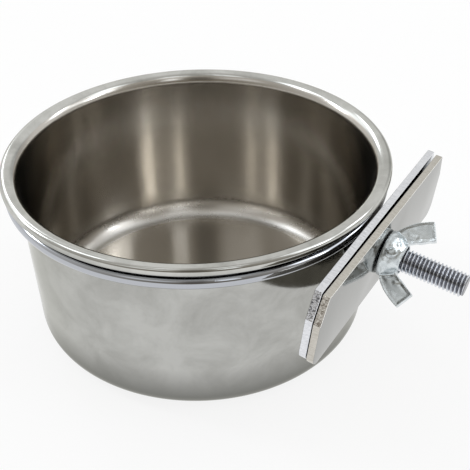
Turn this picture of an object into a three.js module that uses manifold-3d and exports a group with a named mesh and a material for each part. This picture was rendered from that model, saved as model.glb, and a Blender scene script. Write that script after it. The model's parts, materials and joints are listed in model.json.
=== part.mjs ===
// Clamp-on steel cup for a bird cage.
// A drawn cup hangs by its rolled lip in a wire ring. The ring is welded to a fixed plate, and a bolt,
// a loose clamp plate and a wing nut pinch the cage's wires between the two plates.
// Millimetres, +Z up. The origin is the centre of the cup's flat base, and the bolt points along +X.

import * as THREE from 'three';
import { mergeVertices } from 'three/addons/utils/BufferGeometryUtils.js';
import Module from 'manifold-3d';

// Cup
const CUP_HEIGHT = 64;
const CUP_SHEET = 0.8;
const WALL_TOP_RADIUS = 61.15; // outside of the wall where the lip leaves it
const WALL_TAPER = 2.25; // how much smaller the wall's outside is at the base than at the lip
const BASE_CORNER_RADIUS = 8.4; // outside of the bend between the wall and the floor
const LIP_ROUND_RADIUS = 4.25; // the wide bend from the wall up to the top of the lip
const LIP_CURL_RADIUS = 1.65; // outside of the curl from the top of the lip round to its free edge
const LIP_CURL_TURN = 200; // degrees that the curl turns

// Wire ring
const WIRE_RADIUS = 2;
const RING_PLAY = 0.3; // between the top of the cup's wall and the inside of the ring
const RING_DROP = 1.3; // from the underside of the lip's curl down to the ring

// Bracket, with heights taken from the centre of the ring's wire
const BRACKET_LEAN = 7; // degrees that the plates lean out at the top
const PLATE_WIDTH = 95;
const PLATE_HEIGHT = 25.8;
const PLATE_THICKNESS = 2.4;
const PLATE_RISE = 4; // the fixed plate's top edge above the wire's centre
const CHAMFER_ALONG = 3.2; // the clipped upper corners, along the top edge
const CHAMFER_DOWN = 8.8; // and down the ends
const LOWER_CORNER_RADIUS = 4;
const JAW_GAP = 0.5; // between the two plates, at the bolt
const CLAMP_SKEW = 0.35; // degrees that the loose plate stands askew on the bolt
const CLAMP_DROP = 0.7; // how much lower the loose plate hangs than the fixed one
const WELD_GAP = 0.8; // between the wire and the fixed plate, filled by the beads
const WELD_OFFSET = 9; // a bead's centre to the middle of the bracket
const WELD_HALF_LENGTH = 6;
const WELD_SIZE = 1.5;

// Bolt
const BOLT_DROP = 9.6; // the bolt's axis below the wire's centre
const BOLT_RADIUS = 3.95;
const BOLT_REACH = 30.5; // past the fixed plate's outer face
const TIP_CHAMFER = 0.8;
const THREAD_PITCH = 1.25;
const THREAD_DEPTH = 0.6;
const CREST_SHARE = 0.2; // of the pitch, taken by the flat crest
const FLANK_SHARE = 0.3; // and by each flank
const HEAD_RADIUS = 6.5;
const HEAD_THICKNESS = 2.4;

// Wing nut, with distances along the bolt taken from its base
const HUB_BASE_RADIUS = 7.6;
const HUB_TOP_RADIUS = 5.5;
const HUB_HEIGHT = 6.4;
const HUB_ROUNDING = 0.8;
const WING_REACH = 14.7; // the outer tip corner from the axis
const WING_TIP_INSIDE = 9.2; // the inner tip corner from the axis
const WING_HEIGHT = 13.4; // the inner tip corner above the base
const WING_DIP = 3; // how far the outer tip corner lies below the inner one
const WING_BELLY = 11.7; // the outer edge's bow, from the axis
const WING_THICKNESS = 3.8;
const WING_BEVEL = 0.8;
const WING_TURN = 45; // degrees from upright, as the nut is left

// Clearances
const SEAT_GAP = 0.3; // between pieces that touch
const HOLE_PLAY = 1; // round the bolt in the plates
const BORE_PLAY = 0.45; // round the bolt in the nut

// Facets
const CUP_SEGMENTS = 72;
const WIRE_SIDES = 12;
const CORNER_STEPS = 6;
const ROUND_STEPS = 7;
const CURL_STEPS = 10;
const TURNED_SEGMENTS = 32; // round the bolt and the nut
const PLATE_STEPS = 10; // along a plate's rounded corner
const THREAD_SIDES = 16;
const THREAD_ROWS = 4; // rows per turn: both edges of the crest and both edges of the root
const WING_STEPS = 8;
const BEVEL_STEPS = 2;
const BEAD_STEPS = 20;

// Places worked out from the sizes
const wallHeight = CUP_HEIGHT - LIP_ROUND_RADIUS;
const wallBaseRadius = WALL_TOP_RADIUS - WALL_TAPER;
const crestRadius = WALL_TOP_RADIUS - CUP_SHEET + LIP_ROUND_RADIUS;
const ringRadius = WALL_TOP_RADIUS + RING_PLAY + WIRE_RADIUS;
const ringHeight = CUP_HEIGHT - 2 * LIP_CURL_RADIUS - RING_DROP - WIRE_RADIUS;
const fixedBack = WIRE_RADIUS + WELD_GAP;
const fixedFront = fixedBack + PLATE_THICKNESS;
const clampBack = fixedFront + JAW_GAP;
const clampFront = clampBack + PLATE_THICKNESS;
const nutBase = clampFront + SEAT_GAP;
const boltEnd = fixedFront + BOLT_REACH;
const headFront = fixedBack - SEAT_GAP;
const holeRadius = BOLT_RADIUS + HOLE_PLAY;
const boreRadius = BOLT_RADIUS + BORE_PLAY;

const wasm = await Module();
wasm.setup();

// A closed geometry as a solid that can be joined and cut
function solid(geometry) {
  const bare = geometry.clone();
  bare.deleteAttribute('normal');
  bare.deleteAttribute('uv');
  const merged = mergeVertices(bare, 1e-4);
  const mesh = new wasm.Mesh({
    numProp: 3,
    vertProperties: new Float32Array(merged.attributes.position.array),
    triVerts: new Uint32Array(merged.index.array),
  });
  return new wasm.Manifold(mesh);
}

function geometryOf(body) {
  const mesh = body.getMesh();
  const geometry = new THREE.BufferGeometry();
  geometry.setAttribute('position', new THREE.BufferAttribute(new Float32Array(mesh.vertProperties), 3));
  geometry.setIndex(new THREE.BufferAttribute(new Uint32Array(mesh.triVerts), 1));
  geometry.computeVertexNormals();
  return geometry;
}

// A profile of [radius, height] points turned round the Z axis
function turned(profile, segments) {
  const points = profile.map(([radius, height]) => new THREE.Vector2(radius, height));
  return new THREE.LatheGeometry(points, segments).rotateX(Math.PI / 2);
}

function arcPoints(centre, radius, from, to, steps) {
  return Array.from({ length: steps + 1 }, (unused, index) => {
    const angle = from + ((to - from) * index) / steps;
    return [centre[0] + radius * Math.cos(angle), centre[1] + radius * Math.sin(angle)];
  });
}

// A sheet's closed outline, half its thickness to each side of its middle line
function sheetOutline(middle, thickness) {
  const sides = [[], []];
  middle.forEach((point, index) => {
    const before = middle[Math.max(index - 1, 0)];
    const after = middle[Math.min(index + 1, middle.length - 1)];
    const intoPoint = Math.atan2(point[1] - before[1], point[0] - before[0]);
    const outOfPoint = Math.atan2(after[1] - point[1], after[0] - point[0]);
    const first = index === 0 ? outOfPoint : intoPoint;
    const last = index === middle.length - 1 ? intoPoint : outOfPoint;
    const bend = Math.atan2(Math.sin(last - first), Math.cos(last - first));
    const normal = first + bend / 2 + Math.PI / 2;
    const offset = thickness / 2 / Math.cos(bend / 2);
    sides[0].push([point[0] - offset * Math.cos(normal), point[1] - offset * Math.sin(normal)]);
    sides[1].push([point[0] + offset * Math.cos(normal), point[1] + offset * Math.sin(normal)]);
  });
  return [...sides[0], ...sides[1].reverse()];
}

// The drawn cup: flat floor, bent corner, tapered wall, wide round lip curled over at its edge
function cupGeometry() {
  const half = CUP_SHEET / 2;
  const wallLean = Math.atan2(WALL_TAPER, wallHeight);
  const cornerReach = wallBaseRadius + BASE_CORNER_RADIUS * (Math.tan(wallLean) - 1 / Math.cos(wallLean));
  const corner = arcPoints([cornerReach, BASE_CORNER_RADIUS], BASE_CORNER_RADIUS - half,
    -Math.PI / 2, -wallLean, CORNER_STEPS);
  const round = arcPoints([crestRadius, wallHeight], LIP_ROUND_RADIUS - half,
    Math.PI - wallLean, Math.PI / 2, ROUND_STEPS);
  const curlEnd = Math.PI / 2 - THREE.MathUtils.degToRad(LIP_CURL_TURN);
  const curl = arcPoints([crestRadius, CUP_HEIGHT - LIP_CURL_RADIUS], LIP_CURL_RADIUS - half,
    Math.PI / 2, curlEnd, CURL_STEPS);
  const middle = [[0, half], ...corner, ...round, ...curl.slice(1)];
  return turned(sheetOutline(middle, CUP_SHEET), CUP_SEGMENTS);
}

// The wire's round section turned round the cup's axis, grown by a clearance where it cuts a neighbour
function ringGeometry(growth) {
  const section = arcPoints([ringRadius, ringHeight], WIRE_RADIUS + growth, 0, 2 * Math.PI, WIRE_SIDES);
  section[WIRE_SIDES] = section[0];
  return turned(section, CUP_SEGMENTS);
}

// Turns a shape drawn across the bolt, or a piece turned round Z, so that its Z lies along the bolt
const alongBolt = new THREE.Matrix4().makeBasis(
  new THREE.Vector3(0, 1, 0),
  new THREE.Vector3(0, 0, 1),
  new THREE.Vector3(1, 0, 0),
);

// A flat plate with clipped upper corners, rounded lower ones and a hole for the bolt
function plateGeometry(back) {
  const end = PLATE_WIDTH / 2;
  const top = PLATE_RISE;
  const bottom = PLATE_RISE - PLATE_HEIGHT;
  const round = LOWER_CORNER_RADIUS;
  const shape = new THREE.Shape();
  shape.moveTo(end - CHAMFER_ALONG, top);
  shape.lineTo(CHAMFER_ALONG - end, top);
  shape.lineTo(-end, top - CHAMFER_DOWN);
  shape.lineTo(-end, bottom + round);
  shape.absarc(round - end, bottom + round, round, Math.PI, 1.5 * Math.PI, false);
  shape.lineTo(end - round, bottom);
  shape.absarc(end - round, bottom + round, round, 1.5 * Math.PI, 2 * Math.PI, false);
  shape.lineTo(end, top - CHAMFER_DOWN);
  const hole = new THREE.Path();
  hole.absarc(0, -BOLT_DROP, holeRadius, 0, 2 * Math.PI, true);
  shape.holes.push(hole);
  const options = { depth: PLATE_THICKNESS, bevelEnabled: false, curveSegments: PLATE_STEPS };
  return new THREE.ExtrudeGeometry(shape, options).applyMatrix4(alongBolt).translate(back, 0, 0);
}

// A right-handed thread from z = 0 up, as one closed skin whose rows climb one pitch in each turn
function threadGeometry(turns) {
  const profile = [BOLT_RADIUS, BOLT_RADIUS, BOLT_RADIUS - THREAD_DEPTH, BOLT_RADIUS - THREAD_DEPTH];
  const rootEnd = 1 - FLANK_SHARE;
  const starts = [0, CREST_SHARE, CREST_SHARE + FLANK_SHARE, rootEnd]; // where each row lies in the pitch
  const rows = turns * THREAD_ROWS;
  const positions = [];
  for (let row = 0; row <= rows; row += 1) {
    for (let side = 0; side <= THREAD_SIDES; side += 1) {
      const angle = (2 * Math.PI * side) / THREAD_SIDES;
      const turn = Math.floor(row / THREAD_ROWS) + starts[row % THREAD_ROWS] + side / THREAD_SIDES;
      const radius = profile[row % THREAD_ROWS];
      positions.push(radius * Math.cos(angle), radius * Math.sin(angle), turn * THREAD_PITCH);
    }
  }
  const at = (row, side) => row * (THREAD_SIDES + 1) + side;
  const foot = positions.length / 3;
  const crown = foot + 1;
  positions.push(0, 0, THREAD_PITCH / 2, 0, 0, (turns + 0.5) * THREAD_PITCH);
  const faces = [];
  for (let side = 0; side < THREAD_SIDES; side += 1) {
    for (let row = 0; row < rows; row += 1) {
      faces.push(at(row, side), at(row, side + 1), at(row + 1, side + 1));
      faces.push(at(row, side), at(row + 1, side + 1), at(row + 1, side));
    }
    faces.push(foot, at(0, side + 1), at(0, side));
    faces.push(crown, at(rows, side), at(rows, side + 1));
  }
  // The step where the first and the last turn begin and end
  for (let row = 0; row < THREAD_ROWS; row += 1) {
    faces.push(foot, at(row, 0), at(row + 1, 0));
    faces.push(crown, at(rows - row, THREAD_SIDES), at(rows - row - 1, THREAD_SIDES));
  }
  const geometry = new THREE.BufferGeometry();
  geometry.setAttribute('position', new THREE.Float32BufferAttribute(positions, 3));
  geometry.setIndex(faces);
  return geometry;
}

// Bolt: flat head behind the fixed plate, plain shank through it, thread out to a chamfered tip
function boltGeometry() {
  const headBack = headFront - HEAD_THICKNESS;
  const stem = turned([
    [0, headBack],
    [HEAD_RADIUS, headBack],
    [HEAD_RADIUS, headFront],
    [BOLT_RADIUS, headFront],
    [BOLT_RADIUS, fixedFront],
    [0, fixedFront],
  ], TURNED_SEGMENTS);
  const blankStart = fixedFront - PLATE_THICKNESS / 2;
  const blankRadius = BOLT_RADIUS + THREAD_DEPTH;
  const blank = turned([
    [0, blankStart],
    [blankRadius, blankStart],
    [blankRadius, boltEnd - TIP_CHAMFER - THREAD_DEPTH],
    [BOLT_RADIUS - TIP_CHAMFER, boltEnd],
    [0, boltEnd],
  ], TURNED_SEGMENTS);
  const turns = Math.ceil((boltEnd - blankStart) / THREAD_PITCH) + 2;
  const thread = solid(threadGeometry(turns).translate(0, 0, blankStart - 1.5 * THREAD_PITCH));
  const body = thread.intersect(solid(blank)).add(solid(stem));
  return geometryOf(body).applyMatrix4(alongBolt).translate(0, 0, -BOLT_DROP);
}

// One wing's outline in the plane through the bolt's axis: distance from the axis, height above the base
function wingShape() {
  const root = HUB_TOP_RADIUS / 2 + boreRadius / 2;
  const shape = new THREE.Shape();
  shape.moveTo(root, HUB_ROUNDING);
  shape.lineTo(HUB_BASE_RADIUS, HUB_ROUNDING);
  shape.quadraticCurveTo(WING_BELLY, HUB_HEIGHT / 2, WING_REACH, WING_HEIGHT - WING_DIP);
  shape.lineTo(WING_TIP_INSIDE, WING_HEIGHT);
  shape.lineTo(root, HUB_HEIGHT - HUB_ROUNDING);
  return shape;
}

// Wing nut: a tapered hub, two bevelled wings and a bore that clears the bolt
function nutGeometry() {
  const hub = turned([
    [0, 0],
    [HUB_BASE_RADIUS - HUB_ROUNDING, 0],
    [HUB_BASE_RADIUS, HUB_ROUNDING],
    [HUB_TOP_RADIUS, HUB_HEIGHT - HUB_ROUNDING],
    [HUB_TOP_RADIUS - HUB_ROUNDING, HUB_HEIGHT],
    [0, HUB_HEIGHT],
  ], TURNED_SEGMENTS);
  const options = {
    depth: WING_THICKNESS - 2 * WING_BEVEL,
    bevelThickness: WING_BEVEL,
    bevelSize: WING_BEVEL,
    bevelOffset: -WING_BEVEL,
    bevelSegments: BEVEL_STEPS,
    curveSegments: WING_STEPS,
  };
  const wing = new THREE.ExtrudeGeometry(wingShape(), options);
  wing.translate(0, 0, WING_BEVEL - WING_THICKNESS / 2).rotateX(Math.PI / 2);
  const otherWing = wing.clone().rotateZ(Math.PI);
  const bore = new THREE.CylinderGeometry(boreRadius, boreRadius, 4 * HUB_HEIGHT, TURNED_SEGMENTS);
  bore.rotateX(Math.PI / 2);
  const body = solid(hub).add(solid(wing)).add(solid(otherWing)).subtract(solid(bore));
  return geometryOf(body).rotateZ(THREE.MathUtils.degToRad(90 - WING_TURN)).applyMatrix4(alongBolt);
}

const group = new THREE.Group();
const bracket = new THREE.Group();
bracket.position.set(ringRadius, 0, ringHeight);
bracket.rotation.y = THREE.MathUtils.degToRad(BRACKET_LEAN);
bracket.updateMatrixWorld();
group.add(bracket);

// A bead of weld under the wire, cut clear of the wire and of the plate that it joins
function weldGeometry(side) {
  const bead = new THREE.SphereGeometry(1, BEAD_STEPS, BEAD_STEPS / 2);
  bead.scale(WELD_SIZE, WELD_HALF_LENGTH, WELD_SIZE);
  bead.translate(fixedBack - WELD_SIZE / 2, side * WELD_OFFSET, -WIRE_RADIUS);
  const wire = ringGeometry(SEAT_GAP).applyMatrix4(bracket.matrixWorld.clone().invert());
  const behind = 2 * WELD_SIZE;
  const plate = new THREE.BoxGeometry(behind, PLATE_WIDTH, PLATE_HEIGHT);
  plate.translate(fixedBack - SEAT_GAP + behind / 2, 0, 0);
  return geometryOf(solid(bead).subtract(solid(wire)).subtract(solid(plate)));
}

function addPiece(parent, name, geometry, colour, roughness) {
  const material = new THREE.MeshStandardMaterial({ color: colour, roughness, metalness: 1 });
  const mesh = new THREE.Mesh(geometry, material);
  mesh.name = name;
  parent.add(mesh);
  return mesh;
}

addPiece(group, 'cup', cupGeometry(), 0xb9b6ae, 0.28);
addPiece(group, 'holder_ring', ringGeometry(0), 0xc3c6cc, 0.12);
addPiece(bracket, 'fixed_plate', plateGeometry(fixedBack), 0xc3c6cc, 0.12);
const clampPlate = addPiece(bracket, 'clamp_plate', plateGeometry(0), 0xc8c5be, 0.1);
clampPlate.position.set(clampBack, 0, -CLAMP_DROP);
clampPlate.rotation.z = THREE.MathUtils.degToRad(-CLAMP_SKEW);
addPiece(bracket, 'clamp_bolt', boltGeometry(), 0xaeb3b8, 0.3);
addPiece(bracket, 'ring_weld_left', weldGeometry(-1), 0x9a9a98, 0.45);
addPiece(bracket, 'ring_weld_right', weldGeometry(1), 0x9a9a98, 0.45);
const nut = addPiece(bracket, 'wing_nut', nutGeometry(), 0xb0b5b6, 0.35);
nut.position.set(nutBase, 0, -BOLT_DROP);

export default group;
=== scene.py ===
import json
import math

import bmesh
import bpy
from mathutils import Matrix, Vector, noise


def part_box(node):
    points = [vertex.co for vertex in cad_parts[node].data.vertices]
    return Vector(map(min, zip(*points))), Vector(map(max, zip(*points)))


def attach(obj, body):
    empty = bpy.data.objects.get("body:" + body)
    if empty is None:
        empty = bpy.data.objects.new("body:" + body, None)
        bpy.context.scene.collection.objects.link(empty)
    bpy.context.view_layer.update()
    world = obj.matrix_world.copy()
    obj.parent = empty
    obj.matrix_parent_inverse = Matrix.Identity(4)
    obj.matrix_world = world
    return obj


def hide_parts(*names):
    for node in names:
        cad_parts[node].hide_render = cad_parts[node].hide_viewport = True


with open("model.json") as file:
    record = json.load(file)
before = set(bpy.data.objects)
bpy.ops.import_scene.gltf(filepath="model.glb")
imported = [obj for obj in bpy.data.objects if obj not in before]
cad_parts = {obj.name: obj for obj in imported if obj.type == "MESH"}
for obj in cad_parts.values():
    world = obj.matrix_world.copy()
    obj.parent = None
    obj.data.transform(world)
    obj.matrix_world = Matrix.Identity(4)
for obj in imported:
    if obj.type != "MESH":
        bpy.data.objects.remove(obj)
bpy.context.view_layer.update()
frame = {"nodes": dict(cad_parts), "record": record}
scene = bpy.context.scene
scene.view_settings.view_transform = "Standard"


# The cup: stainless sheet, deep drawn in one piece and polished while it turned on a lathe.
# The outside and the lip are bright, and the inside is satin, with fine lines round it.
# The lip is one wide bend, curled over at its edge. The cup is loose and lifts out of the ring.

CUP_SHEET = 0.0008
CUP_WALL_TAPER = 0.00225  # smaller at the base than where the lip begins
CUP_CORNER = 0.0084  # outside of the bend between wall and floor
CUP_LIP_ROUND = 0.00425  # the wide bend from the wall to the top of the lip
CUP_LIP_CURL = 0.00165  # outside of the curl at the lip's edge
CUP_CURL_TURN = 200  # degrees
CUP_SEGMENTS = 288
CUP_FLOOR_SHARES = (0, 0.3, 0.6, 0.85)  # where the flat floor has its rings of points
CUP_CORNER_STEPS = 18
CUP_LIP_STEPS = 20
CUP_LIP_SATIN = 10  # of the lip's steps that still have the inside's finish
CUP_CURL_STEPS = 24
ON_AXIS = 0.00001  # a ring of points that is smaller than this is one point
cup_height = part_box("cup")[1].z
cup_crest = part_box("cup")[1].x - CUP_LIP_CURL
cup_wall = cup_crest - CUP_LIP_ROUND + CUP_SHEET


def arc(centre, radius, start, end, steps):
    """Points on an arc from one angle to another, both ends included."""
    angles = [start + (end - start) * step / steps for step in range(steps + 1)]
    return [(centre[0] + radius * math.cos(a), centre[1] + radius * math.sin(a)) for a in angles]


def sheet_sides(middle, thickness):
    """The two faces of a sheet, half its thickness to the right and to the left of its middle line."""
    right, left = [], []
    for index, point in enumerate(middle):
        before = Vector(middle[max(index - 1, 0)])
        after = Vector(middle[min(index + 1, len(middle) - 1)])
        along = (after - before).normalized()
        across = Vector((-along.y, along.x)) * thickness / 2
        right.append(tuple(Vector(point) - across))
        left.append(tuple(Vector(point) + across))
    return right, left


def turned(name, profile, segments, closed=False, second_finish=0):
    """A mesh of (radius, height) points turned round Z, from axis to axis or as a closed loop.

    The last bands, as many as second_finish says, take the second material.
    """
    mesh = bmesh.new()
    rings = []
    for radius, height in profile:
        if radius < ON_AXIS:
            rings.append([mesh.verts.new((0, 0, height))])
            continue
        turns = [2 * math.pi * side / segments for side in range(segments)]
        rings.append([mesh.verts.new((radius * math.cos(t), radius * math.sin(t), height)) for t in turns])
    pairs = list(zip(rings, rings[1:]))
    if closed:
        pairs.append((rings[-1], rings[0]))
    for index, (low, high) in enumerate(pairs):
        finish = 1 if index >= len(pairs) - second_finish else 0
        for side in range(segments):
            after = (side + 1) % segments
            if len(low) == 1:
                corners = (low[0], high[after], high[side])
            elif len(high) == 1:
                corners = (low[side], low[after], high[0])
            else:
                corners = (low[side], low[after], high[after], high[side])
            mesh.faces.new(corners).material_index = finish
    return finished_mesh(name, mesh)


def finished_mesh(name, mesh, sharp=40):
    """Writes a bmesh out with its faces pointing outwards, smooth but for its sharp edges."""
    bmesh.ops.recalc_face_normals(mesh, faces=mesh.faces)
    for face in mesh.faces:
        face.smooth = True
    data = bpy.data.meshes.new(name)
    mesh.to_mesh(data)
    mesh.free()
    data.set_sharp_from_angle(angle=math.radians(sharp))
    return data


def add_piece(name, mesh, body, node, slot, *materials):
    """Puts a finished mesh on its body in place of its CAD node."""
    piece = bpy.data.objects.new(name, mesh)
    scene.collection.objects.link(piece)
    for material in materials:
        mesh.materials.append(material)
    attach(piece, body)
    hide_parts(node)
    return piece


def cup_mesh():
    """The whole sheet: the floor, its bend, the leaning wall, the wide lip and the curl at its edge."""
    half = CUP_SHEET / 2
    wall_height = cup_height - CUP_LIP_ROUND
    lean = math.atan2(CUP_WALL_TAPER, wall_height)
    corner_reach = cup_wall - CUP_WALL_TAPER + CUP_CORNER * (math.tan(lean) - 1 / math.cos(lean))
    floor = [(corner_reach * share, half) for share in CUP_FLOOR_SHARES]
    corner = arc((corner_reach, CUP_CORNER), CUP_CORNER - half, -math.pi / 2, -lean, CUP_CORNER_STEPS)
    lip = arc((cup_crest, wall_height), CUP_LIP_ROUND - half, math.pi - lean, math.pi / 2, CUP_LIP_STEPS)
    curl_centre = (cup_crest, cup_height - CUP_LIP_CURL)
    curl_end = math.pi / 2 - math.radians(CUP_CURL_TURN)
    curl = arc(curl_centre, CUP_LIP_CURL - half, math.pi / 2, curl_end, CUP_CURL_STEPS)
    outside, inside = sheet_sides(floor + corner + lip + curl[1:], CUP_SHEET)
    satin = len(floor) + len(corner) + CUP_LIP_SATIN
    return turned("cup", outside + inside[::-1], CUP_SEGMENTS, second_finish=satin)


def add_node(tree, kind, inputs=(), **settings):
    """Adds a shader node, sets its options, and sets or links its inputs."""
    node = tree.nodes.new(kind)
    for name, value in settings.items():
        setattr(node, name, value)
    for name, value in dict(inputs).items():
        if isinstance(value, bpy.types.NodeSocket):
            tree.links.new(value, node.inputs[name])
        else:
            node.inputs[name].default_value = value
    return node


def calculate(tree, operation, *values):
    """A Math node's result."""
    return add_node(tree, "ShaderNodeMath", dict(enumerate(values)), operation=operation).outputs[0]


def new_group(name, inputs, outputs):
    """An empty shader node group with its float inputs and outputs, and the nodes at its two ends."""
    group = bpy.data.node_groups.new(name, "ShaderNodeTree")
    for socket, value in inputs.items():
        made = group.interface.new_socket(socket, in_out="INPUT", socket_type="NodeSocketFloat")
        made.default_value = value
    for socket in outputs:
        group.interface.new_socket(socket, in_out="OUTPUT", socket_type="NodeSocketFloat")
    return group, group.nodes.new("NodeGroupInput"), group.nodes.new("NodeGroupOutput")


def use_group(tree, group, **inputs):
    """Places a node group in a material, with the material's own values."""
    node = tree.nodes.new("ShaderNodeGroup")
    node.node_tree = group
    for name, value in inputs.items():
        node.inputs[name.replace("_", " ")].default_value = value
    return node


def mask_between(tree, value, start, end):
    """A mask that goes from 0 to 1 as a value goes from start to end."""
    ranged = add_node(tree, "ShaderNodeMapRange", {"Value": value, "From Min": start, "From Max": end})
    return ranged.outputs["Result"]


def handling_group():
    """Soft smudges and fine scratches that handling leaves on polished metal."""
    group, given, result = new_group(
        "handling marks", {"Smudge Scale": 60.0, "Scratch Scale": 700.0}, ("Smudge", "Scratch"))
    place = add_node(group, "ShaderNodeTexCoord").outputs["Object"]
    smudge = add_node(group, "ShaderNodeTexNoise", {
        "Vector": place, "Scale": given.outputs["Smudge Scale"], "Detail": 5.0, "Roughness": 0.62,
        "Distortion": 0.4})
    smudge_start, smudge_full = 0.38, 0.72
    turned_place = add_node(group, "ShaderNodeMapping", {
        "Vector": place, "Rotation": (0.7, 0.4, 0.9), "Scale": (1.0, 0.04, 0.04)})
    scratch = add_node(group, "ShaderNodeTexNoise", {
        "Vector": turned_place.outputs["Vector"], "Scale": given.outputs["Scratch Scale"], "Detail": 2.0})
    scratch_start, scratch_full = 0.62, 0.72
    soft = mask_between(group, smudge.outputs["Fac"], smudge_start, smudge_full)
    thin = mask_between(group, scratch.outputs["Fac"], scratch_start, scratch_full)
    group.links.new(soft, result.inputs["Smudge"])
    group.links.new(thin, result.inputs["Scratch"])
    return group


handling = handling_group()


def lathe_group():
    """Fine lines left by a lathe, round the wall and in rings on the floor; upright streaks; the height."""
    line_drift = 0.0012  # how much a line changes in each radian
    streaks_round, streaks_up = 9.0, 6.0  # streaks to the radian and to the metre, about
    group, given, result = new_group("lathe lines", {"Spacing": 0.0007}, ("Lines", "Streaks", "Height"))
    place = add_node(group, "ShaderNodeTexCoord").outputs["Object"]
    parts = add_node(group, "ShaderNodeSeparateXYZ", {"Vector": place})
    flat = add_node(group, "ShaderNodeCombineXYZ", {"X": parts.outputs["X"], "Y": parts.outputs["Y"]})
    radius = add_node(group, "ShaderNodeVectorMath", {0: flat.outputs["Vector"]}, operation="LENGTH")
    turn = calculate(group, "ARCTAN2", parts.outputs["Y"], parts.outputs["X"])
    line_place = add_node(group, "ShaderNodeCombineXYZ", {
        "X": radius.outputs["Value"], "Y": parts.outputs["Z"],
        "Z": calculate(group, "MULTIPLY", turn, line_drift)})
    lines_to_metre = calculate(group, "DIVIDE", 1.0, given.outputs["Spacing"])
    lines = add_node(group, "ShaderNodeTexNoise", {
        "Vector": line_place.outputs["Vector"], "Scale": lines_to_metre, "Detail": 3.0, "Roughness": 0.7})
    streak_place = add_node(group, "ShaderNodeCombineXYZ", {
        "X": calculate(group, "MULTIPLY", turn, streaks_round),
        "Y": calculate(group, "MULTIPLY", parts.outputs["Z"], streaks_up)})
    streaks = add_node(group, "ShaderNodeTexNoise", {
        "Vector": streak_place.outputs["Vector"], "Scale": 1.0, "Detail": 4.0, "Roughness": 0.6})
    group.links.new(lines.outputs["Fac"], result.inputs["Lines"])
    group.links.new(streaks.outputs["Fac"], result.inputs["Streaks"])
    group.links.new(parts.outputs["Z"], result.inputs["Height"])
    return group


lathe = lathe_group()


def metal(name, colour, roughness, glancing=(1, 1, 1)):
    """A bare metal with its node tree and its shader, ready for its own detail.

    Glancing is the share of each colour that it still mirrors at a low angle.
    """
    material = bpy.data.materials.new(name)
    material.use_nodes = True
    shader = material.node_tree.nodes["Principled BSDF"]
    shader.inputs["Base Color"].default_value = (*colour, 1)
    shader.inputs["Metallic"].default_value = 1
    shader.inputs["Roughness"].default_value = roughness
    shader.inputs["Specular Tint"].default_value = (*glancing, 1)
    return material, material.node_tree, shader


def spread_value(tree, value, low, high):
    """Spreads a mask over a range of values."""
    ranged = add_node(tree, "ShaderNodeMapRange", {"Value": value, "To Min": low, "To Max": high})
    return ranged.outputs["Result"]


def tinted(tree, mask, clean, marked):
    """A colour that goes from clean to marked with a mask. Each is a colour or another node's output."""
    first, second = [end if isinstance(end, bpy.types.NodeSocket) else (*end, 1) for end in (clean, marked)]
    mix = add_node(tree, "ShaderNodeMix", {"Factor": mask, 6: first, 7: second}, data_type="RGBA")
    return mix.outputs[2]


def add_bump(tree, shader, height, distance):
    """Raises the surface by a mask, as far as distance where the mask is full."""
    bump = add_node(tree, "ShaderNodeBump", {"Height": height, "Distance": distance})
    tree.links.new(bump.outputs["Normal"], shader.inputs["Normal"])


def lathe_sheen(tree, shader, amount):
    """Stretches the highlights across the lathe lines, which run round the cup's axis."""
    shader.inputs["Anisotropic"].default_value = amount
    shader.inputs["Anisotropic Rotation"].default_value = 0.25  # a quarter turn
    tangent = add_node(tree, "ShaderNodeTangent", direction_type="RADIAL", axis="Z")
    tree.links.new(tangent.outputs["Tangent"], shader.inputs["Tangent"])


def cup_polish():
    """The bright outside: nearly a mirror, with smudges, buffed on the lip, and with painted shade near the
    base.
    """
    clean, smudged, painted_base_shade = (0.5, 0.5, 0.48), (0.365, 0.365, 0.345), (0.205, 0.205, 0.192)
    lip_clean, lip_smudged = (0.61, 0.61, 0.585), (0.42, 0.42, 0.395)
    # Heights of the painted shade near the base: full below the first, gone above the second. It is a
    # painted reflection of the floor's shadow in the wall.
    base_shade_full, base_shade_end = 0.0065, 0.019  # heights
    buffed_start, buffed_full = cup_height - 2 * CUP_LIP_CURL, cup_height - CUP_SHEET
    smooth, dulled = 0.07, 0.16  # roughness
    line_depth = 0.000003
    material, tree, shader = metal("cup_polish", clean, smooth, glancing=(0.8, 0.8, 0.77))
    smudge = use_group(tree, handling, Smudge_Scale=60.0).outputs["Smudge"]
    lines = use_group(tree, lathe, Spacing=0.0007)
    base_shade_mask = mask_between(tree, lines.outputs["Height"], base_shade_end, base_shade_full)
    on_lip = mask_between(tree, lines.outputs["Height"], buffed_start, buffed_full)
    wall = tinted(tree, base_shade_mask, tinted(tree, smudge, clean, smudged), painted_base_shade)
    lip = tinted(tree, smudge, lip_clean, lip_smudged)
    tree.links.new(tinted(tree, on_lip, wall, lip), shader.inputs["Base Color"])
    tree.links.new(spread_value(tree, smudge, smooth, dulled), shader.inputs["Roughness"])
    add_bump(tree, shader, lines.outputs["Lines"], line_depth)
    return material


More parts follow.
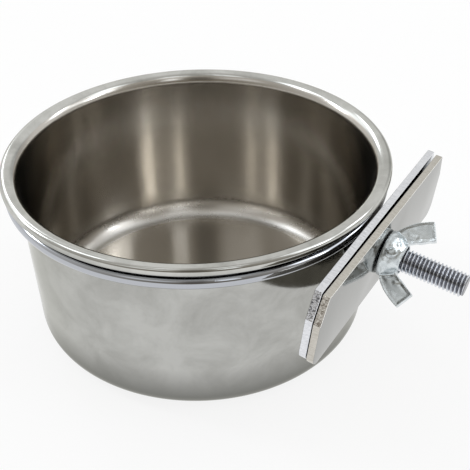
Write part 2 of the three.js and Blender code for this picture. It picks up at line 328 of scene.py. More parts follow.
def cup_satin():
    """The inside: satin that draws each light into an upright streak, rough in the bend, with a painted
    highlight there.
    """
    clean, stained, painted_bend_highlight = (0.575, 0.55, 0.51), (0.51, 0.475, 0.425), (0.68, 0.67, 0.645)
    bend_start, bend_full, bend_fading, bend_end = 0.00082, 0.00095, 0.0014, 0.0028  # heights
    dull_full, dull_end = 0.006, 0.014  # heights
    smooth, rough, rougher_in_bend = 0.16, 0.24, 0.1  # roughness
    streak_share, line_depth = 4.0, 0.000006
    material, tree, shader = metal("cup_satin", clean, smooth, glancing=(0.22, 0.2, 0.17))
    smudge = use_group(tree, handling, Smudge_Scale=45.0).outputs["Smudge"]
    lines = use_group(tree, lathe, Spacing=0.0007)
    height = lines.outputs["Height"]
    worn = calculate(tree, "MULTIPLY", smudge, lines.outputs["Streaks"])
    above_floor = mask_between(tree, height, bend_start, bend_full)
    # The lighter colour in the bend is a painted highlight, for the bright arc where the wall meets the
    # floor.
    bend = calculate(tree, "MULTIPLY", above_floor, mask_between(tree, height, bend_end, bend_fading))
    dull = calculate(tree, "MULTIPLY", above_floor, mask_between(tree, height, dull_end, dull_full))
    colour = tinted(tree, bend, tinted(tree, worn, clean, stained), painted_bend_highlight)
    tree.links.new(colour, shader.inputs["Base Color"])
    roughness = spread_value(tree, worn, smooth, rough)
    roughness = calculate(tree, "MULTIPLY_ADD", dull, rougher_in_bend, roughness)
    tree.links.new(roughness, shader.inputs["Roughness"])
    lathe_sheen(tree, shader, 0.7)
    relief = calculate(tree, "MULTIPLY_ADD", lines.outputs["Streaks"], streak_share, lines.outputs["Lines"])
    add_bump(tree, shader, relief, line_depth)
    return material


add_piece("cup_shell", cup_mesh(), "cup", "cup", "cup_steel", cup_polish(), cup_satin())


# The holder's ring: round wire bent into a hoop, its ends butt welded, then chrome plated.
# It sits just under the cup's lip, and it is welded to the fixed plate where the two meet.

RING_SEGMENTS = 288
RING_SIDES = 32
RING_WAVE = 0.0001  # how far the wire wanders from a true circle
RING_WAVE_SCALE = 70  # waves to the metre, about
RING_UP_WAVE = Vector((0, 0, 9))  # so that the waves up and down are other ones than those in and out
ring_wire = (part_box("holder_ring")[1].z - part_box("holder_ring")[0].z) / 2
ring_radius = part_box("holder_ring")[1].x - ring_wire
ring_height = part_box("holder_ring")[1].z - ring_wire


def chrome(name, colour, roughness, glancing=(1, 1, 1)):
    """Bright chrome plate: almost a mirror, with faint clouding and hairline scratches."""
    clear, clouded = roughness * 0.7, roughness * 1.8
    scratch_depth = 0.000004
    material, tree, shader = metal(name, colour, roughness, glancing)
    marks = use_group(tree, handling, Smudge_Scale=70.0, Scratch_Scale=700.0)
    tree.links.new(spread_value(tree, marks.outputs["Smudge"], clear, clouded), shader.inputs["Roughness"])
    add_bump(tree, shader, marks.outputs["Scratch"], scratch_depth)
    return material


def ring_mesh():
    """The hoop, with the slight waves of a wire bent cold."""
    section = arc((ring_radius, ring_height), ring_wire, 0, 2 * math.pi, RING_SIDES)[:-1]
    data = turned("holder_hoop", section, RING_SEGMENTS, closed=True)
    for vert in data.vertices:
        out = Vector((vert.co.x, vert.co.y, 0)).normalized()
        place = out * ring_radius * RING_WAVE_SCALE
        vert.co += out * RING_WAVE * noise.noise(place)
        vert.co.z += RING_WAVE * noise.noise(place + RING_UP_WAVE)
    return data


add_piece("holder_hoop", ring_mesh(), "holder", "holder_ring", "ring_chrome",
          chrome("ring_chrome", (0.475, 0.49, 0.525), 0.05))


# The fixed plate: steel strip, sheared to length with its upper corners clipped off, chrome plated.
# It stands upright behind the ring, leaning out a little at the top, and the bolt goes through it.

PLATE_THICKNESS = 0.0024
PLATE_WIDTH = 0.095
PLATE_HEIGHT = 0.0258
PLATE_CLIP_ALONG = 0.0032
PLATE_CLIP_DOWN = 0.0088
PLATE_LOWER_CORNER = 0.004
PLATE_CORNER_STEPS = 10
PLATE_EDGE = 0.00028  # the edges' small rounding
PLATE_TOP = 0.0136  # above the bolt's axis
PLATE_STEP = 0.0012  # between points along the outline
PLATE_FINISHES = ("front", "edge", "clipped corner", "back", "upper arris")  # in their materials' order
CLIP_ROUGHNESS = 0.00012  # how far the torn clipped corners wander
CLIP_FINENESS = 3  # points there for each one elsewhere
SEAT_GAP = 0.0003  # between pieces that touch
JAW_GAP = 0.0005  # between the two plates, at the bolt
HOLE_RADIUS = 0.00495
HOLE_SIDES = 64
joints = {joint["name"]: joint for joint in frame["record"]["behaviour"]["joints"]}
bolt_way = Vector(joints["clamp_slide"]["axis"]).normalized()
upright = bolt_way.cross(Vector((0, 1, 0)))
nut_place = Vector(joints["nut_spin"]["pos_m"])
# The bracket's own frame: X along the bolt from the nut's base, Y along the plates, Z up them
bracket_place = Matrix.Translation(nut_place) @ Matrix((bolt_way, (0, 1, 0), upright)).transposed().to_4x4()
clamp_front = -SEAT_GAP
clamp_back = clamp_front - PLATE_THICKNESS
fixed_front = clamp_back - JAW_GAP
fixed_back = fixed_front - PLATE_THICKNESS


def plate_outline():
    """The outline across the bolt, anticlockwise from the upper right, with torn clipped corners."""
    end = PLATE_WIDTH / 2
    low = PLATE_TOP - PLATE_HEIGHT
    clip = PLATE_TOP - PLATE_CLIP_DOWN
    corner = PLATE_LOWER_CORNER
    points = [(end - PLATE_CLIP_ALONG, PLATE_TOP), (PLATE_CLIP_ALONG - end, PLATE_TOP), (-end, clip)]
    points += arc((corner - end, low + corner), corner, math.pi, 1.5 * math.pi, PLATE_CORNER_STEPS)
    points += arc((end - corner, low + corner), corner, 1.5 * math.pi, 2 * math.pi, PLATE_CORNER_STEPS)
    points += [(end, clip)]
    fine = []
    for first, second in zip(points, points[1:] + points[:1]):
        first, second = Vector(first), Vector(second)
        steps = max(1, round((second - first).length / PLATE_STEP))
        clipped = min(first.y, second.y) >= clip - PLATE_EDGE and abs(first.y - second.y) > PLATE_EDGE
        if clipped:
            steps *= CLIP_FINENESS
        for step in range(steps):
            point = first.lerp(second, step / steps)
            if clipped and step:
                torn = CLIP_ROUGHNESS * (0.5 + noise.noise((point.x, point.y, 0)))
                point.x -= math.copysign(1, point.x) * torn
            fine.append(tuple(point))
    return fine


def plate_finish(face):
    """Which finish a plate's face has, from how far it looks out of the front (X), along (Y) and up (Z)."""
    half_way, slanting, all_but_flat = 0.5, 0.2, 0.98
    clipped_up, clipped_along = 0.05, 0.3
    out, along, up = face.normal
    middle = face.calc_center_median()
    in_hole = math.hypot(middle.y, middle.z) < 2 * HOLE_RADIUS
    if slanting < out < all_but_flat and up > slanting:
        return "upper arris"
    if abs(out) < half_way and not in_hole:
        return "clipped corner" if up > clipped_up and abs(along) > clipped_along else "edge"
    return "back" if out < -half_way else "front"


def plate_mesh(name, place):
    """A plate with a round hole, its edges a little rounded, and a finish for each of its faces."""
    mesh = bmesh.new()
    outer = [mesh.verts.new((0, y, z)) for y, z in plate_outline()]
    hole = [mesh.verts.new((0, y, z)) for y, z in arc((0, 0), HOLE_RADIUS, 0, 2 * math.pi, HOLE_SIDES)[:-1]]
    edges = []
    for loop in (outer, hole):
        edges += [mesh.edges.new((a, b)) for a, b in zip(loop, loop[1:] + loop[:1])]
    bmesh.ops.triangle_fill(mesh, use_beauty=True, use_dissolve=False, edges=edges)
    swept = bmesh.ops.extrude_face_region(mesh, geom=list(mesh.faces))
    moved = [item for item in swept["geom"] if isinstance(item, bmesh.types.BMVert)]
    bmesh.ops.translate(mesh, vec=(PLATE_THICKNESS, 0, 0), verts=moved)
    bmesh.ops.recalc_face_normals(mesh, faces=mesh.faces)
    crisp = [edge for edge in mesh.edges if edge.calc_face_angle(0) > math.radians(60)]
    bmesh.ops.bevel(mesh, geom=crisp, offset=PLATE_EDGE, segments=3, profile=0.6, affect="EDGES")
    for face in mesh.faces:
        face.material_index = PLATE_FINISHES.index(plate_finish(face))
    bmesh.ops.transform(mesh, matrix=place, verts=mesh.verts)
    return finished_mesh(name, mesh, sharp=25)


def cut_edge(name, clean, dark, roughness):
    """A sheared edge: short strokes across the plate's thickness, plated over."""
    dark_start, dark_full = 0.42, 0.8
    stroke_depth = 0.000012
    material, tree, shader = metal(name, clean, roughness)
    place = add_node(tree, "ShaderNodeTexCoord").outputs["Object"]
    strokes_place = add_node(tree, "ShaderNodeMapping", {"Vector": place, "Scale": (500.0, 1600.0, 1600.0)})
    strokes = add_node(tree, "ShaderNodeTexNoise", {
        "Vector": strokes_place.outputs["Vector"], "Scale": 1.0, "Detail": 5.0,
        "Roughness": 0.7}).outputs["Fac"]
    marked = mask_between(tree, strokes, dark_start, dark_full)
    tree.links.new(tinted(tree, marked, clean, dark), shader.inputs["Base Color"])
    tree.links.new(spread_value(tree, strokes, roughness * 0.8, roughness * 1.3), shader.inputs["Roughness"])
    add_bump(tree, shader, strokes, stroke_depth)
    return material


def ragged_cut(name, clean, dark, roughness):
    """A clipped corner: torn, pitted metal that shows dark specks through the plating."""
    speck_start, speck_full = 0.46, 0.6
    pit_depth = 0.00025
    material, tree, shader = metal(name, clean, roughness)
    place = add_node(tree, "ShaderNodeTexCoord").outputs["Object"]
    pits = add_node(tree, "ShaderNodeTexVoronoi", {"Vector": place, "Scale": 1700.0, "Randomness": 1.0})
    grain = add_node(tree, "ShaderNodeTexNoise", {
        "Vector": place, "Scale": 1300.0, "Detail": 5.0, "Roughness": 0.75}).outputs["Fac"]
    specks = mask_between(tree, grain, speck_start, speck_full)
    tree.links.new(tinted(tree, specks, clean, dark), shader.inputs["Base Color"])
    tree.links.new(spread_value(tree, grain, roughness * 0.7, roughness * 1.5), shader.inputs["Roughness"])
    add_bump(tree, shader, pits.outputs["Distance"], pit_depth)
    return material


fixed_place = bracket_place @ Matrix.Translation((fixed_back, 0, 0))
add_piece("fixed_jaw", plate_mesh("fixed_jaw", fixed_place), "holder", "fixed_plate", "plate_chrome",
          chrome("plate_chrome", (0.64, 0.66, 0.7), 0.06),
          # The cut edges' strokes are real. Their light colour, lighter than the plated faces, is a painted
          # highlight that makes the top edge bright.
          cut_edge("plate_cut_edge_painted_highlight", (0.8, 0.81, 0.84), (0.56, 0.57, 0.6), 0.16),
          ragged_cut("plate_clipped_corner", (0.6, 0.6, 0.61), (0.1, 0.1, 0.11), 0.35),
          # The back's dark brown colour is painted shade, for the shade between the plate and the cup's
          # wall.
          chrome("plate_back_painted_shade", (0.26, 0.245, 0.215), 0.2),
          # The upper arris's near-white colour is a painted highlight along the plate's top front edge.
          chrome("plate_arris_painted_highlight", (0.88, 0.89, 0.92), 0.2))


# The welds: two short beads under the wire, one on each side of where the ring meets the fixed plate.
# They were laid before plating, so they have the ring's colour with a duller, rippled skin.

WELD_RIPPLE = 0.00012
WELD_RIPPLE_PITCH = 0.0011
WELD_MERGE = 0.000001  # points of the bead that are nearer than this are one


def weld_metal():
    """Plating over a bead: bright on its ripples, with dull patches."""
    bright, dull = (0.6, 0.6, 0.61), (0.33, 0.32, 0.31)
    smooth, rough = 0.2, 0.45
    material, tree, shader = metal("weld_metal", bright, smooth)
    smudge = use_group(tree, handling, Smudge_Scale=400.0).outputs["Smudge"]
    tree.links.new(tinted(tree, smudge, bright, dull), shader.inputs["Base Color"])
    tree.links.new(spread_value(tree, smudge, smooth, rough), shader.inputs["Roughness"])
    return material


def weld_mesh(name, node):
    """The CAD bead with finer facets and the ripples of its laying."""
    mesh = bmesh.new()
    mesh.from_mesh(frame["nodes"][node].data)
    bmesh.ops.remove_doubles(mesh, verts=mesh.verts, dist=WELD_MERGE)
    bmesh.ops.subdivide_edges(mesh, edges=mesh.edges, cuts=1, use_grid_fill=True)
    mesh.normal_update()
    for vert in mesh.verts:
        wave = math.sin(2 * math.pi * vert.co.y / WELD_RIPPLE_PITCH)
        vert.co -= vert.normal * WELD_RIPPLE * (0.5 + 0.5 * wave)
    return finished_mesh(name, mesh, sharp=50)


bead_metal = weld_metal()
for side in ("left", "right"):
    add_piece(f"weld_bead_{side}", weld_mesh(f"weld_bead_{side}", f"ring_weld_{side}"),
              "holder", f"ring_weld_{side}", "weld_metal", bead_metal)


# The bolt: steel, with a flat head behind the fixed plate and a rolled coarse thread, bright zinc plated.
# It is fast in the fixed plate, and it carries the clamp plate and the wing nut.

BOLT_RADIUS = 0.00395
BOLT_REACH = 0.0305  # past the fixed plate
BOLT_TIP = 0.0008  # the chamfer at the end
THREAD_PITCH = 0.00125
THREAD_DEPTH = 0.00075
THREAD_SIDES = 72
THREAD_SPARE = 2  # turns past each end, to be cut off
CUT_MERGE = 0.0000001  # points that are nearer to a cut than this lie on it
THREAD_FORM = ((0.0, 0.0), (0.1, 0.05), (0.24, 0.5), (0.38, 0.95), (0.46, 1.0), (0.54, 1.0), (0.62, 0.95),
               (0.76, 0.5), (0.9, 0.05))  # share of the pitch, share of the depth
HEAD_RADIUS = 0.0065
HEAD_THICKNESS = 0.0024
HEAD_EDGE = 0.0004
bolt_end = fixed_front + BOLT_REACH
head_front = fixed_back - SEAT_GAP


def thread_rows(mesh, start, end):
    """Rows of points that climb one pitch in each turn, past both ends of the bolt."""
    steps = (math.ceil((end - start) / THREAD_PITCH) + 2 * THREAD_SPARE) * THREAD_SIDES
    rows = []
    for step in range(steps + 1):
        angle = 2 * math.pi * step / THREAD_SIDES
        row = []
        for share, depth in THREAD_FORM:
            along = start + (step / THREAD_SIDES - THREAD_SPARE + share) * THREAD_PITCH
            # The thread runs out over one pitch inside the plate
            cut = min(max((along - fixed_front) / THREAD_PITCH + 1, 0), 1)
            radius = BOLT_RADIUS - THREAD_DEPTH * depth * cut
            radius = min(radius, max(BOLT_RADIUS - BOLT_TIP + end - along, BOLT_RADIUS / 2))
            row.append(mesh.verts.new((along, radius * math.cos(angle), radius * math.sin(angle))))
        rows.append(row)
    return rows


def cut_off(mesh, along, way):
    """Cuts the mesh square across the bolt and gives the open edge that is left."""
    everything = mesh.verts[:] + mesh.edges[:] + mesh.faces[:]
    cut = bmesh.ops.bisect_plane(mesh, geom=everything, plane_co=(along, 0, 0), plane_no=(way, 0, 0),
                                 clear_outer=True, dist=CUT_MERGE)
    return [item for item in cut["geom_cut"] if isinstance(item, bmesh.types.BMEdge)]


def widened(mesh, edges, along, radius):
    """Carries an open round edge on to another place along the bolt and another radius."""
    grown = bmesh.ops.extrude_edge_only(mesh, edges=edges)["geom"]
    for vert in grown:
        if isinstance(vert, bmesh.types.BMVert):
            out = Vector((0, vert.co.y, vert.co.z)).normalized() * radius
            vert.co = Vector((along, out.y, out.z))
    return [item for item in grown if isinstance(item, bmesh.types.BMEdge) and item.is_boundary]


def bolt_mesh():
    """One skin: the flat head, the shank in the plate, the thread, and the chamfered end."""
    mesh = bmesh.new()
    rows = thread_rows(mesh, head_front, bolt_end)
    last = len(THREAD_FORM) - 1
    for step in range(len(rows) - 1):
        here, after = rows[step], rows[step + 1]
        for index in range(last):
            mesh.faces.new((here[index], after[index], after[index + 1], here[index + 1]))
        if step + 1 + THREAD_SIDES < len(rows):
            above, above_after = rows[step + THREAD_SIDES], rows[step + 1 + THREAD_SIDES]
            mesh.faces.new((here[last], after[last], above_after[0], above[0]))
    tip = cut_off(mesh, bolt_end, 1)
    bmesh.ops.edgeloop_fill(mesh, edges=tip)
    edge = cut_off(mesh, head_front, -1)
    head_back = head_front - HEAD_THICKNESS
    for along, radius in ((head_front, HEAD_RADIUS - HEAD_EDGE), (head_front - HEAD_EDGE, HEAD_RADIUS),
                          (head_back + HEAD_EDGE, HEAD_RADIUS), (head_back, HEAD_RADIUS - HEAD_EDGE)):
        edge = widened(mesh, edge, along, radius)
    bmesh.ops.edgeloop_fill(mesh, edges=edge)
    bmesh.ops.transform(mesh, matrix=bracket_place, verts=mesh.verts)
    return finished_mesh("bolt", mesh, sharp=35)


def zinc(name, bright, dull, roughness):
    """Bright zinc plate: bluish grey, a little cloudy."""
    cloud_depth = 0.00003
    material, tree, shader = metal(name, bright, roughness)
    smudge = use_group(tree, handling, Smudge_Scale=260.0).outputs["Smudge"]
    tree.links.new(tinted(tree, smudge, bright, dull), shader.inputs["Base Color"])
    tree.links.new(spread_value(tree, smudge, roughness * 0.75, roughness * 1.5), shader.inputs["Roughness"])
    add_bump(tree, shader, smudge, cloud_depth)
    return material


def bolt_zinc():
    """Zinc that is bright on the thread's crests and dark in its roots, with oil there and painted shade."""
    crest, clouded, oil_and_shade = (0.74, 0.765, 0.81), (0.6, 0.62, 0.66), (0.12, 0.12, 0.14)
    oil_and_shade_reach = BOLT_RADIUS - 0.65 * THREAD_DEPTH
    material = zinc("bolt_zinc", crest, clouded, 0.22)
    tree = material.node_tree
    colour = tree.nodes["Principled BSDF"].inputs["Base Color"]
    place = add_node(tree, "ShaderNodeTexCoord").outputs["Object"]
    from_nut = add_node(tree, "ShaderNodeVectorMath", {0: place, 1: nut_place}, operation="SUBTRACT")
    across = add_node(tree, "ShaderNodeVectorMath", {0: from_nut.outputs["Vector"], 1: bolt_way},
                      operation="CROSS_PRODUCT")
    radius = add_node(tree, "ShaderNodeVectorMath", {0: across.outputs["Vector"]}, operation="LENGTH")
    # Dark in the thread's roots: partly oil, and partly painted shade for the hollows.
    root = mask_between(tree, radius.outputs["Value"], oil_and_shade_reach, BOLT_RADIUS - THREAD_DEPTH)
    tree.links.new(tinted(tree, root, colour.links[0].from_socket, oil_and_shade), colour)
    return material


add_piece("bolt_thread", bolt_mesh(), "holder", "clamp_bolt", "bolt_zinc", bolt_zinc())


# The clamp plate: the same strip as the fixed plate, face polished to a mirror, edges left as sheared.
# It is loose on the bolt, where it hangs a little low and askew, and it slides along it under the nut.

CLAMP_DROP = 0.0007
CLAMP_SKEW = 0.35  # degrees
clamp_place = (
    bracket_place @ Matrix.Translation((clamp_back, 0, -CLAMP_DROP))
    @ Matrix.Rotation(math.radians(-CLAMP_SKEW), 4, "Z"))
clamp_face = chrome("clamp_plate_steel", (0.374, 0.374, 0.367), 0.05, glancing=(0.87, 0.87, 0.86))
add_piece("clamp_jaw", plate_mesh("clamp_jaw", clamp_place),
          "clamp_plate", "clamp_plate", "clamp_plate_steel",
          clamp_face,
          cut_edge("clamp_cut_edge", (0.6, 0.575, 0.525), (0.42, 0.39, 0.34), 0.24),
          ragged_cut("clamp_clipped_corner", (0.6, 0.57, 0.52), (0.2, 0.17, 0.14), 0.4),
          clamp_face,
          # The upper arris's near-white colour is a painted highlight along the plate's top front edge.
          chrome("clamp_arris_painted_highlight", (0.93, 0.92, 0.89), 0.25))


# The wing nut: hot-forged steel with two slanting wings, zinc plated, turned by hand on the bolt.
# Hub and wings are one forging with soft fillets, a blank raised oval on the hub, and sunk wing faces.

NUT_BORE = 0.0044
HUB_BASE_RADIUS = 0.0076
HUB_TOP_RADIUS = 0.0055
HUB_HEIGHT = 0.0064
HUB_ROUNDING = 0.0008
HUB_BASE_EDGE = 0.0002
HUB_STEPS = 8
WING_REACH = 0.0147  # the outer tip corner from the axis
WING_TIP_INSIDE = 0.0092  # the inner tip corner from the axis
WING_HEIGHT = 0.0134  # the inner tip corner above the base
WING_DIP = 0.003  # how far the outer tip corner lies below the inner one
WING_BELLY = 0.0117  # the outer edge's bow, from the axis
WING_THICKNESS = 0.0038
WING_BORDER = 0.0009
WING_SUNK = 0.0004
WING_STEPS = 12
WING_TURN = 45  # degrees from level, as the nut is left
OVAL_SIZE = (0.0021, 0.0015, 0.0007)  # half its length, width and height
OVAL_UP = 0.003  # from the nut's base
OVAL_SIDES = 32
NUT_SIDES = 64
NUT_GRAIN = 0.0002  # the forging's finest form
NUT_SOFTENING = 8  # passes that round off the fillets
HUB_DENT = 0.0003  # how far the hub's forging wanders from its die
WING_DENT = 0.00005  # the same, on the wings
DENT_FADE = 0.0016  # from the hub's dents to the wings'
NUT_DENT_SCALE = 560  # dents to the metre, about


def hub_part():
    """The tapered hub, along X, with the bore through it."""
    profile = [(NUT_BORE, 0), (HUB_BASE_RADIUS - HUB_BASE_EDGE, 0)]
    for step in range(HUB_STEPS + 1):
        share = step / HUB_STEPS
        radius = HUB_BASE_RADIUS + (HUB_TOP_RADIUS - HUB_BASE_RADIUS) * share**2
        profile.append((radius, HUB_BASE_EDGE + (HUB_HEIGHT - HUB_BASE_EDGE - HUB_ROUNDING) * share))
    profile += [(HUB_TOP_RADIUS - HUB_ROUNDING, HUB_HEIGHT), (NUT_BORE, HUB_HEIGHT)]
    data = turned("nut_hub", profile, NUT_SIDES, closed=True)
    data.transform(Matrix.Rotation(math.radians(90), 4, "Y"))
    return data


def wing_part(turn):
    """One wing, drawn as distance from the axis and height along the bolt, turned round the axis."""
    root = (HUB_TOP_RADIUS + NUT_BORE) / 2
    start = Vector((HUB_BASE_RADIUS - HUB_ROUNDING, HUB_ROUNDING))
    bow = Vector((WING_BELLY, HUB_HEIGHT / 2))
    tip = Vector((WING_REACH, WING_HEIGHT - WING_DIP))
    outline = [(root, HUB_ROUNDING)]
    for step in range(WING_STEPS + 1):
        t = step / WING_STEPS
        outline.append(tuple(start * (1 - t) ** 2 + bow * 2 * t * (1 - t) + tip * t**2))
    outline += [(WING_TIP_INSIDE, WING_HEIGHT), (root, HUB_HEIGHT - HUB_ROUNDING)]
    mesh = bmesh.new()
    low = [mesh.verts.new((height, reach, -WING_THICKNESS / 2)) for reach, height in outline]
    high = [mesh.verts.new((height, reach, WING_THICKNESS / 2)) for reach, height in outline]
    faces = [mesh.faces.new(low[::-1]), mesh.faces.new(high)]
    for index in range(len(outline)):
        after = (index + 1) % len(outline)
        mesh.faces.new((low[index], low[after], high[after], high[index]))
    bmesh.ops.recalc_face_normals(mesh, faces=mesh.faces)
    bmesh.ops.inset_individual(mesh, faces=faces, thickness=WING_BORDER, depth=-WING_SUNK,
                               use_even_offset=True)
    bmesh.ops.transform(mesh, matrix=Matrix.Rotation(turn, 4, "X"), verts=mesh.verts)
    return finished_mesh("nut_wing", mesh)


def oval_part(turn):
    """The blank raised oval on the hub's side, between the wings."""
    mesh = bmesh.new()
    bmesh.ops.create_uvsphere(mesh, u_segments=OVAL_SIDES, v_segments=OVAL_SIDES // 2, radius=1)
    bmesh.ops.scale(mesh, vec=OVAL_SIZE, verts=mesh.verts)
    bmesh.ops.translate(mesh, vec=(OVAL_UP, 0, HUB_BASE_RADIUS - OVAL_SIZE[2] / 2), verts=mesh.verts)
    bmesh.ops.transform(mesh, matrix=Matrix.Rotation(turn, 4, "X"), verts=mesh.verts)
    return finished_mesh("nut_oval", mesh)


def nut_mesh():
    """Hub, wings and oval grown together into one forging, dented most on the hub and flat at its base."""
    turn = math.radians(WING_TURN)
    parts = [hub_part(), wing_part(turn), wing_part(turn + math.pi), oval_part(turn)]
    made = [bpy.data.objects.new(part.name, part) for part in parts]
    for part in made:
        scene.collection.objects.link(part)
    for part in made[1:]:
        join = made[0].modifiers.new("join", "BOOLEAN")
        join.operation = "UNION"
        join.solver = "EXACT"
        join.object = part
    forge = made[0].modifiers.new("forge", "REMESH")
    forge.mode = "VOXEL"
    forge.voxel_size = NUT_GRAIN
    soften = made[0].modifiers.new("soften", "SMOOTH")
    soften.factor = 0.5
    soften.iterations = NUT_SOFTENING
    whole = made[0].evaluated_get(bpy.context.evaluated_depsgraph_get())
    mesh = bmesh.new()
    mesh.from_mesh(whole.to_mesh())
    for part in made:
        bpy.data.objects.remove(part)
    mesh.normal_update()
    for vert in mesh.verts:
        past_hub = math.hypot(vert.co.y, vert.co.z) - HUB_BASE_RADIUS
        on_wing = min(1, max(0, past_hub / DENT_FADE))
        dent = HUB_DENT + (WING_DENT - HUB_DENT) * on_wing
        off_base = min(1, max(0, vert.co.x / HUB_ROUNDING - 1))
        vert.co += vert.normal * dent * off_base * noise.noise(vert.co * NUT_DENT_SCALE)
    bmesh.ops.transform(mesh, matrix=bracket_place, verts=mesh.verts)
    return finished_mesh("nut", mesh, sharp=60)


add_piece("nut_forging", nut_mesh(), "wing_nut", "wing_nut", "nut_zinc",
          zinc("nut_zinc", (0.72, 0.765, 0.785), (0.54, 0.58, 0.6), 0.28))


# The stage: a pale floor in a studio that is white behind the cup and darkens towards the camera.
# Soft lamps stand round it. Their directions are degrees from the camera's side, to its right, and up.

FLOOR_RADIUS = 3.0
FLOOR_SIDES = 96
FLOOR_COLOUR = (0.95, 0.95, 0.95)
FLOOR_ROUGHNESS = 0.8
FLOOR_GLOW = 0.85  # how far the floor's own white shows over its lit and shaded colour, in the metal too
CAMERA_PLACE = Vector((0.1492, -0.2250, 0.2201))
STUDIO_WHITE = (0.87, 0.87, 0.86)
HORIZON_WHITE = (0.96, 0.96, 0.95)  # low down all round, where the studio meets the floor
HORIZON_FADE = (3, 9)  # degrees up, over which it gives way to the studio's shades
STUDIO_SHADES = (  # how far towards the camera, from -1 to 1, and the colour there
    (-0.3, STUDIO_WHITE), (0.0, (0.63, 0.62, 0.6)), (0.42, (0.5, 0.485, 0.455)),
    (0.82, (0.3, 0.28, 0.245)), (1.0, (0.18, 0.155, 0.12)))
DARK_PLACES = (  # round, up, half width and half height in degrees, and how much of the light is gone
    (-5, 36, 8, 18, 0.45), (147, 14, 16, 12, 0.35))
LAMPS = (  # round, up, half width and half height in degrees, radiance
    (89, 32, 20, 8, 1.0), (73, 33, 4, 8, 5.4), (105, 33, 4, 8, 4.0),
    (-135, 32, 28, 8, 0.9), (-113, 33, 4, 8, 11), (-157, 31, 4, 8, 6.6),
    (80, 55, 14, 9, 1.3), (-105, 55, 14, 8, 2.3), (22, 66, 16, 8, 0.7), (-42, 72, 16, 8, 0.6),
    (65, 40, 7, 8, 1.7), (16, 40, 6, 9, 1.1), (-35, 42, 16, 9, 0.45))
LAMP_COLOUR = (0.96, 1.01, 1.07)
PATCH_SOFTNESS = 0.5  # of its half size, over which the edge of a lamp or a dark place fades
camera_side = Vector((CAMERA_PLACE.x, CAMERA_PLACE.y, 0)).normalized()
camera_right = Vector((0, 0, 1)).cross(camera_side)

floor_mesh = bmesh.new()
bmesh.ops.create_circle(floor_mesh, cap_ends=True, segments=FLOOR_SIDES, radius=FLOOR_RADIUS)
floor = bpy.data.objects.new("floor", finished_mesh("floor", floor_mesh))
scene.collection.objects.link(floor)
floor_paint = bpy.data.materials.new("floor_paint")
floor_paint.use_nodes = True
paint = floor_paint.node_tree
floor_shader = paint.nodes["Principled BSDF"]
floor_shader.inputs["Base Color"].default_value = (*FLOOR_COLOUR, 1)
floor_shader.inputs["Roughness"].default_value = FLOOR_ROUGHNESS
floor_shader.inputs["Specular IOR Level"].default_value = 0
path = add_node(paint, "ShaderNodeLightPath").outputs
mirrored = calculate(paint, "MAXIMUM", path["Is Glossy Ray"], path["Is Transmission Ray"])
seen = calculate(paint, "MAXIMUM", path["Is Camera Ray"], mirrored)
glow = calculate(paint, "MULTIPLY", seen, FLOOR_GLOW)
white = add_node(paint, "ShaderNodeEmission", {"Strength": 1.0})
shown = add_node(paint, "ShaderNodeMixShader", {
    "Fac": glow, 1: floor_shader.outputs["BSDF"], 2: white.outputs["Emission"]})
paint.links.new(shown.outputs["Shader"], paint.nodes["Material Output"].inputs["Surface"])
floor.data.materials.append(floor_paint)

world = bpy.data.worlds.new("studio")
scene.world = world
world.use_nodes = True
sky = world.node_tree
way = add_node(sky, "ShaderNodeTexCoord").outputs["Generated"]


def share_along(direction):
    """How far each way that one can look from the cup goes along a direction, from -1 to 1."""
    product = add_node(sky, "ShaderNodeVectorMath", {0: way, 1: direction}, operation="DOT_PRODUCT")
    return product.outputs["Value"]


def ramp(value, start, end, low, high):
    """A smooth step from one value to another."""
    return add_node(sky, "ShaderNodeMapRange", {
        "Value": value, "From Min": start, "From Max": end, "To Min": low, "To Max": high},
        interpolation_type="SMOOTHSTEP").outputs["Result"]


towards_camera = share_along(camera_side)
turned_by = calculate(sky, "ARCTAN2", share_along(camera_right), towards_camera)
rise = calculate(sky, "ARCSINE", share_along(Vector((0, 0, 1))))
along_ramp = calculate(sky, "MULTIPLY_ADD", towards_camera, 0.5, 0.5)
walls = add_node(sky, "ShaderNodeValToRGB", {"Fac": along_ramp})
stops = walls.color_ramp.elements
while len(stops) < len(STUDIO_SHADES):
    stops.new(1)
for stop, (towards, colour) in zip(stops, STUDIO_SHADES):
    stop.position = (towards + 1) / 2
    stop.color = (*colour, 1)
horizon_start, horizon_end = [math.radians(up) for up in HORIZON_FADE]
light = tinted(sky, ramp(rise, horizon_start, horizon_end, 1, 0), walls.outputs["Color"], HORIZON_WHITE)


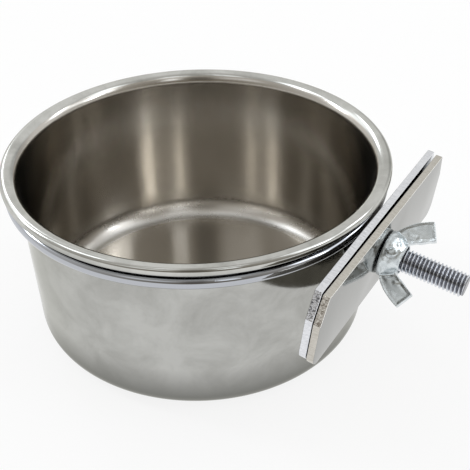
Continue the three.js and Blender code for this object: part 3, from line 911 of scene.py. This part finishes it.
def patch(round_by, up_by, half_width, half_height):
    """A soft-edged mask over part of the studio."""
    aside = calculate(sky, "SUBTRACT", turned_by, math.radians(round_by))
    aside = calculate(sky, "WRAP", aside, math.pi, -math.pi)
    above = calculate(sky, "SUBTRACT", rise, math.radians(up_by))
    mask = 1.0
    for offset, half in ((aside, math.radians(half_width)), (above, math.radians(half_height))):
        inner, outer = half * (1 - PATCH_SOFTNESS), half * (1 + PATCH_SOFTNESS)
        within = ramp(calculate(sky, "ABSOLUTE", offset), inner, outer, 1, 0)
        mask = calculate(sky, "MULTIPLY", within, mask)
    return mask


light_left = 1.0
for *place, gone in DARK_PLACES:
    kept = calculate(sky, "MULTIPLY_ADD", patch(*place), -gone, 1.0)
    light_left = calculate(sky, "MULTIPLY", kept, light_left)
lamps = 0.0
for *place, radiance in LAMPS:
    lamps = calculate(sky, "MULTIPLY_ADD", patch(*place), radiance, lamps)
shaded = add_node(sky, "ShaderNodeVectorMath", {0: light, "Scale": light_left}, operation="SCALE")
glowing = add_node(sky, "ShaderNodeVectorMath", {0: LAMP_COLOUR, "Scale": lamps}, operation="SCALE")
lit = add_node(sky, "ShaderNodeVectorMath", {0: shaded.outputs["Vector"], 1: glowing.outputs["Vector"]},
               operation="ADD")
sky.links.new(lit.outputs["Vector"], sky.nodes["Background"].inputs["Color"])


# The camera: above and in front of the cup, a little to the right, as in the photograph.
# Its place, turn and lens were fitted to the rim, the base, the plates and the bolt there.

CAMERA_YAW = 30.85
CAMERA_PITCH = 35.34  # below the horizon
CAMERA_ROLL = -0.94
CAMERA_NEAREST = 0.01
PHOTO_SIZE = 470  # pixels
FOCAL_PIXELS = 911.4
SENSOR_WIDTH = 36
camera_data = bpy.data.cameras.new("camera")
camera_data.sensor_width = SENSOR_WIDTH
camera_data.lens = SENSOR_WIDTH * FOCAL_PIXELS / PHOTO_SIZE
camera_data.clip_start = CAMERA_NEAREST
camera = bpy.data.objects.new("camera", camera_data)
camera.matrix_world = (
    Matrix.Translation(CAMERA_PLACE)
    @ Matrix.Rotation(math.radians(CAMERA_YAW), 4, "Z")
    @ Matrix.Rotation(math.radians(90 - CAMERA_PITCH), 4, "X")
    @ Matrix.Rotation(math.radians(CAMERA_ROLL), 4, "Z"))
scene.collection.objects.link(camera)
scene.camera = camera
